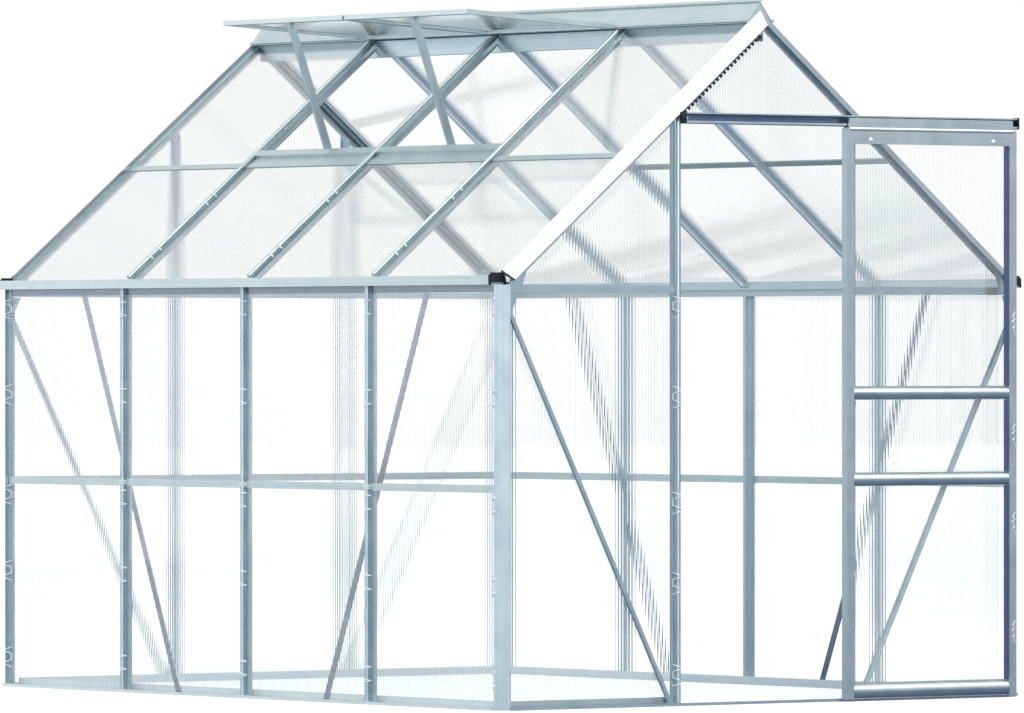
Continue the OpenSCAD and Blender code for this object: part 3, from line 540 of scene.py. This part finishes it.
def wire(name, paths, radius, material, body):
    """Bends wire along each path of points."""
    ends = [(a, b) for path in paths for a, b in zip(path, path[1:])]
    piece = grow(name, rods, [(a + b) / 2 for a, b in ends], [turn_to(b - a) for a, b in ends],
                 {"Radius": radius, "Material": material}, [(b - a).length + radius for a, b in ends])
    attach(piece, body)


# %% [markdown]
# ## Spring steel
# Clips and bolts are bright-drawn steel, too small for a pattern to show. The finish is less metallic than
# the real wire, so that a wire of two pixels still stands out pale against its bar.

# %% Spring steel
def plain_metal(name, colour, metallic, roughness):
    """Metal of one even colour."""
    material, tree = start_material(name)
    skin = add(tree, "ShaderNodeBsdfPrincipled", {
        "Base Color": linear(colour), "Metallic": metallic, "Roughness": roughness})
    add(tree, "ShaderNodeOutputMaterial", {"Surface": skin.outputs["BSDF"]})
    return material


spring_steel = plain_metal("bright spring steel", "#f3f8f8", 0.35, 0.3)
print("made", spring_steel.name)

# %% [markdown]
# ## Wire clips
# A spring-steel wire, bent to a W, holds the sheets down: its feet press on one sheet, it climbs over the
# bead of the bar and dips to the sheet on the other side. A tie of three wires crosses each bar where the
# joint strips meet it, and a shorter bend grips the corner posts. A bend is a short list of points in
# millimetres, across the bar, out from the sheet and down the bar, and one function sets it on any bar.

# %% Shapes of the clips
WIRE_R = 1.4 * MM
W_SHAPE = [(-15, 1.2, 0), (-4, 14.6, 6), (4, 14.6, 8), (13, 1.2, 11), (4, 14.6, 13), (-4, 14.6, 15),
           (-15, 1.2, 20), (-15, 1.2, 38), (-4, 14.6, 44), (4, 14.6, 47), (13, 1.2, 51), (4, 14.6, 54),
           (-4, 14.6, 57), (-15, 1.2, 62)]
TIE_SHAPE = [(-13, 3, -5), (-4, 14.8, -5), (4, 14.8, -5), (13, 3, -4), (13, 3, 0), (4, 14.8, 0),
             (-4, 14.8, 0), (-13, 3, 1), (-13, 3, 5), (-4, 14.8, 5), (4, 14.8, 5), (13, 3, 5)]
CORNER_SHAPE = [(14, 1.4, 0), (1, 15.4, 6), (-5, 10.8, 9), (1, 15.4, 13), (14, 1.4, 20), (14, 1.4, 38),
                (1, 15.4, 44), (-5, 10.8, 48), (1, 15.4, 53), (14, 1.4, 60)]
CLIP_TOPS = (1.178, 0.918, 0.614, 0.383, 0.119)
ROOF_CLIPS_UP = (0.15, 0.41)
STRIP_Z = sum(corner[2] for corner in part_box("joint_strips_sides")) / 2
FALL = (0, 0, -1)


def bent(shape, at, across, out, down):
    """A bent wire at a place, in the frame of its bar."""
    return [Vector(at) + (Vector(across) * u + Vector(out) * n + Vector(down) * d) * MM
            for u, n, d in shape]


print("clips at heights", CLIP_TOPS, "ties at", round(STRIP_Z, 4))

# %% Clips on the bars
paths = []
for wall, out_x in (("left", -1), ("right", 1)):
    out = (out_x, 0, 0)
    across = (0, -1, 0)
    face_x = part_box("side_sheets_" + wall)[0 if out_x < 0 else 1][0]
    for bar in solids("side_bars_" + wall):
        y = float(bar[:, 1].mean())
        for top in CLIP_TOPS:
            paths.append(bent(W_SHAPE, (face_x, y, top), across, out, FALL))
        paths.append(bent(TIE_SHAPE, (face_x, y, STRIP_Z), across, out, FALL))
    sheets = np.concatenate(solids("side_sheets_" + wall))
    for y, inward in ((sheets[:, 1].min(), 1), (sheets[:, 1].max(), -1)):
        for top in CLIP_TOPS:
            paths.append(bent(CORNER_SHAPE, (face_x, y, top), (0, inward, 0), out, FALL))
for node, out_y in (("door_posts", -1), ("rear_gable_bars", 1)):
    face_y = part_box("front_gable_sheets")[0][1] if out_y < 0 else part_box("rear_gable_sheets")[1][1]
    for x in [float((s[:, 0].min() + s[:, 0].max()) / 2) for s in solids(node)]:
        for top in CLIP_TOPS:
            paths.append(bent(W_SHAPE, (x, face_y, top), (1, 0, 0), (0, out_y, 0), FALL))
for wall in ("left", "right"):
    along, out = (Vector(axis) for axis in DOWN["roof_sheets_" + wall])
    sheets = np.concatenate(solids("roof_sheets_" + wall))
    foot = float((sheets @ np.array(along)).max())
    face = float((sheets @ np.array(out)).max())
    for bar in solids("roof_bars_" + wall):
        y = float(bar[:, 1].mean())
        for up in ROOF_CLIPS_UP:
            at = along * (foot - up) + out * face + Vector((0, y, 0))
            paths.append(bent(W_SHAPE, at, (0, -1, 0), out, along))
wire("wire_clips", paths, WIRE_R, spring_steel, "frame")

# %% [markdown]
# ## Door fittings
# Two domed bolts hold the hanger to the door's head, and spring clips grip the right-hand stile. A rubber
# strip seals the sheets against the inner side of that stile, one length between each pair of rails; it is
# drawn wide and blue-grey as painted shade of that stile's shaded inner side.

# %% Bolts and clips of the door
BOLT_R = 7 * MM
BOLT_Z = 1.636
BOLT_FROM_MIDDLE = 0.2325
FLAT_W = [(7, 0.6, 0), (-2, 0.6, 14), (6, 0.6, 20), (-4, 0.6, 28), (5, 0.6, 42), (-2, 0.6, 46),
          (9, 0.6, 66)]
STILE_CLIP_TOPS = (1.135, 0.805, 0.545, 0.225)
TO_FRONT = (0, -1, 0)

door_low, door_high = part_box("door_head_rail")
middle_x = (door_low[0] + door_high[0]) / 2
bolts = [(middle_x + side * BOLT_FROM_MIDDLE, door_low[1], BOLT_Z) for side in (-1, 1)]
piece = grow("door_bolts", domes, bolts, [turn_to(TO_FRONT)] * len(bolts),
             {"Radius": BOLT_R, "Material": spring_steel})
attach(piece, "door")

stile_low, stile_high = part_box("door_stiles")
inner_x = min(float(s[:, 0].min()) for s in solids("door_stiles") if s[:, 0].mean() > middle_x)
stile_x = (inner_x + stile_high[0]) / 2
paths = [bent(FLAT_W, (stile_x, stile_low[1], top), (1, 0, 0), TO_FRONT, FALL) for top in STILE_CLIP_TOPS]
wire("stile_clips", paths, WIRE_R, spring_steel, "door")

# %% Rubber seal of the door, with painted shade
# The seal is drawn wide and blue-grey: painted shade along the stile's inner side.
SEAL_T = 14.0 * MM
SEAL_D = 3.0 * MM
SEAL_OFF = 0.2 * MM
SEAL_SHORTER = 1.0 * MM
rubber_and_painted_shade = moulded("rubber seal with painted shade", "#3c4866", "#56648a")
sheet_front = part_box("door_sheets")[0][1]
rail_tops = sorted([(float(s[:, 2].min()), float(s[:, 2].max())) for s in solids("door_rails")])
rail_tops.append((door_low[2], door_high[2]))
seal_at, seal_reach = [], []
for (_, low), (high, _) in zip(rail_tops, rail_tops[1:]):
    seal_at.append((inner_x - SEAL_T / 2, sheet_front - SEAL_D / 2 - SEAL_OFF, (low + high) / 2))
    seal_reach.append(high - low - SEAL_SHORTER)
piece = grow("door_seals_and_painted_shade", ribs, seal_at, [UPRIGHT] * len(seal_at),
             {"Rib thickness": SEAL_T, "Rib depth": SEAL_D, "Material": rubber_and_painted_shade}, seal_reach)
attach(piece, "door")

# %% [markdown]
# ## Cut ends
# Where the front gable sheet is cut on the slope, the shade inside its open flutes shows as a row of dark
# mouths under the left rafter. Each mouth is painted shade: a small black plate on the face of the sheet,
# turned with the slope, so the tree that makes the ribs makes them too.

# %% Painted shade in the mouths of the flutes
MOUTH_GAP = 13.0 * MM
MOUTH = 10.0 * MM
MOUTH_T = 0.6 * MM
MOUTH_OFF = 0.4 * MM
MOUTH_DROP = 13.0 * MM
FIRST_MOUTH = 2
mouth_shades = []
peak = max(solids("front_gable_sheets"), key=lambda s: s[:, 2].max())
tip = peak[peak[:, 2].argmax()]
edge_from = peak[peak[:, 0].argmin()]
mouth_face = float(peak[:, 1].min())
across_slope = np.array((math.sin(PITCH), 0.0, -math.cos(PITCH)))
for k in range(FIRST_MOUTH, int(abs(edge_from[0]) / MOUTH_GAP)):
    x = -k * MOUTH_GAP
    on_edge = np.array((x, mouth_face - MOUTH_OFF, tip[2] + x * math.tan(PITCH)))
    mouth_shades.append(tuple(on_edge + across_slope * MOUTH_DROP))
piece = grow("painted_shade_in_flute_mouths", ribs, mouth_shades, [(0, -PITCH, 0)] * len(mouth_shades),
             {"Rib thickness": MOUTH, "Rib depth": MOUTH_T, "Material": black_plastic_and_painted_shade},
             [MOUTH] * len(mouth_shades))
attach(piece, "frame")

# %% [markdown]
# ## Feet of the rafters
# A narrow black plate edges the square-cut foot of each rafter. It lies on the chamfered face, so its
# direction is read from the two edges of that face at the rafter's foot, the lower one on the outside and the
# upper one on the roof.

# %% Plates on the rafters' feet
PLATE_W = 6 * MM
PLATE_T = 3 * MM
PLATE_OFF = 0.4 * MM
SAME_EDGE = 0.1 * MM
AT_FOOT = 1.0 * MM
plates, plate_turns, plate_reach = [], [], []
for end, outward in (("front", -1), ("rear", 1)):
    for wall in ("left", "right"):
        along, out = (Vector(axis) for axis in DOWN["roof_sheets_" + wall])
        rafter = np.concatenate(solids(f"rafter_{end}_{wall}"))
        foot = float((rafter @ np.array(along)).max())
        end_face = rafter[rafter @ np.array(along) > foot - AT_FOOT]
        rise = end_face @ np.array(out)
        edge = end_face[:, 1] * outward
        low_rise = float(rise[edge > edge.max() - SAME_EDGE].max())
        high_edge = float(edge[rise > rise.max() - SAME_EDGE].max())
        low = Vector((0, outward * edge.max(), 0)) + out * low_rise
        high = Vector((0, outward * high_edge, 0)) + out * float(rise.max())
        run = (high - low).normalized()
        turn = Matrix((along, run.cross(along), run)).transposed().to_euler()
        face_out = (out + Vector((0, outward, 0))).normalized()
        plates.append((low + high) / 2 + along * (foot - PLATE_W / 2) + face_out * PLATE_OFF)
        plate_turns.append(tuple(turn))
        plate_reach.append((high - low).length)
piece = grow("rafter_foot_plates", ribs, plates, plate_turns,
             {"Rib thickness": PLATE_W, "Rib depth": PLATE_T, "Material": black_plastic_and_painted_shade}, plate_reach)
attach(piece, "frame")

# %% [markdown]
# ## Ridge ends
# Under the wings of the ridge cap each gable would show an open triangle. A small end plate closes it. It is
# one triangle with a thickness, so its corners are worked out from the cap's own width and height.

# %% Ridge ends
CREST_DROP = 14.0 * MM
EDGE = 8.0 * MM
PLATE_IN = 36.0 * MM
HALF_PLATE = 1.0 * MM
cap = np.concatenate(solids("ridge_cap"))
wing_x, wing_z = float(cap[:, 0].max()), float(cap[cap[:, 0].argmax(), 2])
crest_z = float(cap[:, 2].max()) - CREST_DROP
outline = [(-wing_x + EDGE, wing_z), (wing_x - EDGE, wing_z), (0.0, crest_z)]
corners, faces = [], []
for y in (front_y + PLATE_IN, rear_y - PLATE_IN):
    first = len(corners)
    corners += [(x, y + d, z) for d in (-HALF_PLATE, HALF_PLATE) for x, z in outline]
    faces += [(first, first + 1, first + 2), (first + 5, first + 4, first + 3)]
    faces += [(first + k, first + 3 + k, first + 3 + (k + 1) % 3, first + (k + 1) % 3) for k in range(3)]
mesh = bpy.data.meshes.new("ridge_end_plates")
mesh.from_pydata(corners, [], faces)
mesh.materials.append(finishes["bright_across"])
piece = bpy.data.objects.new("ridge_end_plates", mesh)
scene.collection.objects.link(piece)
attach(piece, "frame")
print("ridge end plates:", len(faces), "faces, wings reach", round(wing_x, 4))

# %% [markdown]
# ## The track's bolt
# One domed bolt fixes the track to the gable near its left end. A ray from the front finds the face that the
# bolt sits on, so the bolt follows the profile.

# %% Bolt in the track
TRACK_BOLT_R = 6 * MM
TRACK_BOLT_IN = 18 * MM
RAY_FROM = 0.1
track_low, track_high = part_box("door_track")
ray_start = (track_low[0] + TRACK_BOLT_IN, track_low[1] - RAY_FROM, (track_low[2] + track_high[2]) / 2)
hit, bolt_at, _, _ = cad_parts["door_track"].ray_cast(ray_start, (0, 1, 0))
if hit:
    piece = grow("track_bolt", domes, [tuple(bolt_at)], [turn_to(TO_FRONT)],
                 {"Radius": TRACK_BOLT_R, "Material": spring_steel})
    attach(piece, "frame")
print("track bolt at", tuple(round(v, 4) for v in bolt_at))

# %% [markdown]
# ## Painted shade on a few faces
# The inside of the track and the flange under each gutter get a darker colour that is painted shade.
# Both are only a few faces of a larger solid, so the solid gets a second material slot for them.

# %% Painted shade on a few faces
FACING = 0.9
BOLT_FACE_NEAR = 1.0 * MM


def paint_shade_on_faces(node, material, chosen):
    """Gives the chosen faces of a solid a second finish, used here for painted shade."""
    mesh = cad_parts[node].data
    mesh.materials.append(material)
    shaded = [face for face in mesh.polygons if chosen(face)]
    for face in shaded:
        face.material_index = 1
    print(node, "dulled faces:", len(shaded))


# The inside of the track, painted shade.
track_painted_shade = mill_aluminium("aluminium with painted shade inside the track", "#5d6c86", "#76859c", ACROSS_X)
paint_shade_on_faces("door_track", track_painted_shade,
           lambda face: face.normal.y < -FACING and face.center.y > bolt_at[1] - BOLT_FACE_NEAR)
# The flange under each gutter, painted shade.
for wall, outward in (("left", -1), ("right", 1)):
    paint_shade_on_faces("eave_gutter_" + wall, finishes["painted_shade_along"],
               lambda face: face.normal.x * outward > FACING and face.center.z < eave_z)

# %% [markdown]
# ## The set
# A white studio with a pale floor. The camera is level and far away, with a long lens, which keeps the
# uprights parallel. Its place and lens come from fitting a level camera to the corners of the building.

# %% Camera
CAMERA_AT = (-16.860, -22.4265, 1.0043)
CAMERA_TURN = math.radians(-36.973)
SENSOR_WIDTH = 36.0
FOCAL_PIXELS, PICTURE_PIXELS = 9346.3, 1024
FAR = 200.0
lens = bpy.data.cameras.new("level camera")
lens.sensor_width = SENSOR_WIDTH
lens.lens = FOCAL_PIXELS / PICTURE_PIXELS * SENSOR_WIDTH
lens.clip_end = FAR
camera = bpy.data.objects.new("level camera", lens)
camera.location = CAMERA_AT
camera.rotation_euler = (math.pi / 2, 0.0, CAMERA_TURN)
scene.collection.objects.link(camera)
scene.camera = camera
print("focal length", round(lens.lens, 1), "mm")

# %% [markdown]
# ### Floor
# The eye sees white paper all round, and so do rays that go through a sheet. Bare metal needs something to
# mirror, though, and in an all-white room it turns flat. So every other ray meets a duller floor, pale behind
# the building on the left and dark in front of it on the right. A little light of its own keeps the paper
# white, and a soft shadow still shows.

# %% Floor
FLOOR_HALF = 60.0
GLOW = 0.18
TOWARDS_PALE = (-0.6, 0.8, 0.0)
PALE_REACH = 1.5
WHITE = (1.0, 1.0, 1.0, 1.0)
floor_mesh = bpy.data.meshes.new("studio floor")
floor_corners = [(x * FLOOR_HALF, y * FLOOR_HALF, 0) for x, y in ((-1, -1), (1, -1), (1, 1), (-1, 1))]
floor_mesh.from_pydata(floor_corners, [], [(0, 1, 2, 3)])
floor = bpy.data.objects.new("studio_floor", floor_mesh)
scene.collection.objects.link(floor)
floor_finish, tree = start_material("white studio paper")
paper = add(tree, "ShaderNodeBsdfDiffuse", {"Color": linear("#f2f0ef")})
shine = add(tree, "ShaderNodeEmission", {"Color": WHITE, "Strength": GLOW})
white = add(tree, "ShaderNodeAddShader", {0: paper.outputs["BSDF"], 1: shine.outputs["Emission"]})
place = add(tree, "ShaderNodeTexCoord").outputs["Object"]
behind = add(tree, "ShaderNodeVectorMath", {0: place, 1: TOWARDS_PALE}, operation="DOT_PRODUCT")
lit = add(tree, "ShaderNodeMapRange", {
    "Value": behind.outputs["Value"], "From Min": -PALE_REACH, "From Max": PALE_REACH})
shade = add(tree, "ShaderNodeMix", {
    "Factor": lit.outputs["Result"], "A": linear("#5c6b88"), "B": linear("#b6c1c9")}, data_type="RGBA")
dull = add(tree, "ShaderNodeBsdfDiffuse", {"Color": shade.outputs["Result"]})
both = add(tree, "ShaderNodeMixShader", {
    0: seen_directly(tree), 1: dull.outputs["BSDF"], 2: white.outputs["Shader"]})
add(tree, "ShaderNodeOutputMaterial", {"Surface": both.outputs["Shader"]})
floor_mesh.materials.append(floor_finish)
print("floor of", 2 * FLOOR_HALF, "m")

# %% [markdown]
# ### Dome
# For the same reason the sky is white to the eye and a studio to the metal: bright overhead on the left, and
# falling off to a dull blue on the right and below, as in a room with dark walls.

# %% Dome
DOME_TOP = Vector((-0.5, -0.3, 0.81))
DOME_DARK_AT, DOME_BRIGHT_AT = -0.6, 0.5
DOME_DARK = linear("#566a92")
DOME_BRIGHT = (1.2, 1.25, 1.24, 1.0)
world = bpy.data.worlds.new("white studio")
scene.world = world
world.use_nodes = True
tree = world.node_tree
tree.nodes.clear()
towards = add(tree, "ShaderNodeTexCoord").outputs["Generated"]
height = add(tree, "ShaderNodeVectorMath", {0: towards, 1: DOME_TOP}, operation="DOT_PRODUCT")
fall = add(tree, "ShaderNodeMapRange", {
    "Value": height.outputs["Value"], "From Min": DOME_DARK_AT, "From Max": DOME_BRIGHT_AT})
tint = add(tree, "ShaderNodeMix", {
    "Factor": fall.outputs["Result"], "A": DOME_DARK, "B": DOME_BRIGHT}, data_type="RGBA")
dome = add(tree, "ShaderNodeBackground", {"Color": tint.outputs["Result"], "Strength": 1.0})
paper = add(tree, "ShaderNodeBackground", {"Color": WHITE, "Strength": 1.0})
both = add(tree, "ShaderNodeMixShader", {
    0: seen_directly(tree), 1: dome.outputs["Background"], 2: paper.outputs["Background"]})
add(tree, "ShaderNodeOutputWorld", {"Surface": both.outputs["Shader"]})
print("dome brightest towards", tuple(round(v, 2) for v in DOME_TOP))

# %% [markdown]
# ### Lamps
# Four soft discs light the building: one in front on the left, a weak one behind on the left, one in front on
# the right and one overhead. Large discs keep every shadow soft.

# %% Lamps
# name, place, aim, diameter in metres, watts
LAMPS = [
    ("key lamp", (-5.5, -8.5, 2.8), (-0.3, -0.3, 1.0), 4.0, 185.0),
    ("left lamp", (-5.5, 7.5, 2.4), (-0.9, 0, 0.8), 4.5, 40.0),
    ("right lamp", (4.8, -6.0, 5.2), (0.2, -1.2, 1.0), 3.0, 150.0),
    ("top lamp", (-1.0, -3.8, 8.5), (0, -0.8, 1.4), 3.0, 75.0),
]
SHEETS_IN_A_ROW = 48
for name, at, aim, size, watts in LAMPS:
    lamp = bpy.data.lights.new(name, "AREA")
    lamp.shape = "DISK"
    lamp.size = size
    lamp.energy = watts
    rig = bpy.data.objects.new(name, lamp)
    rig.location = at
    rig.rotation_euler = (Vector(aim) - Vector(at)).to_track_quat("-Z", "Y").to_euler()
    scene.collection.objects.link(rig)
scene.view_settings.view_transform = "Standard"
scene.cycles.transparent_max_bounces = SHEETS_IN_A_ROW
print("lamps:", len(LAMPS))
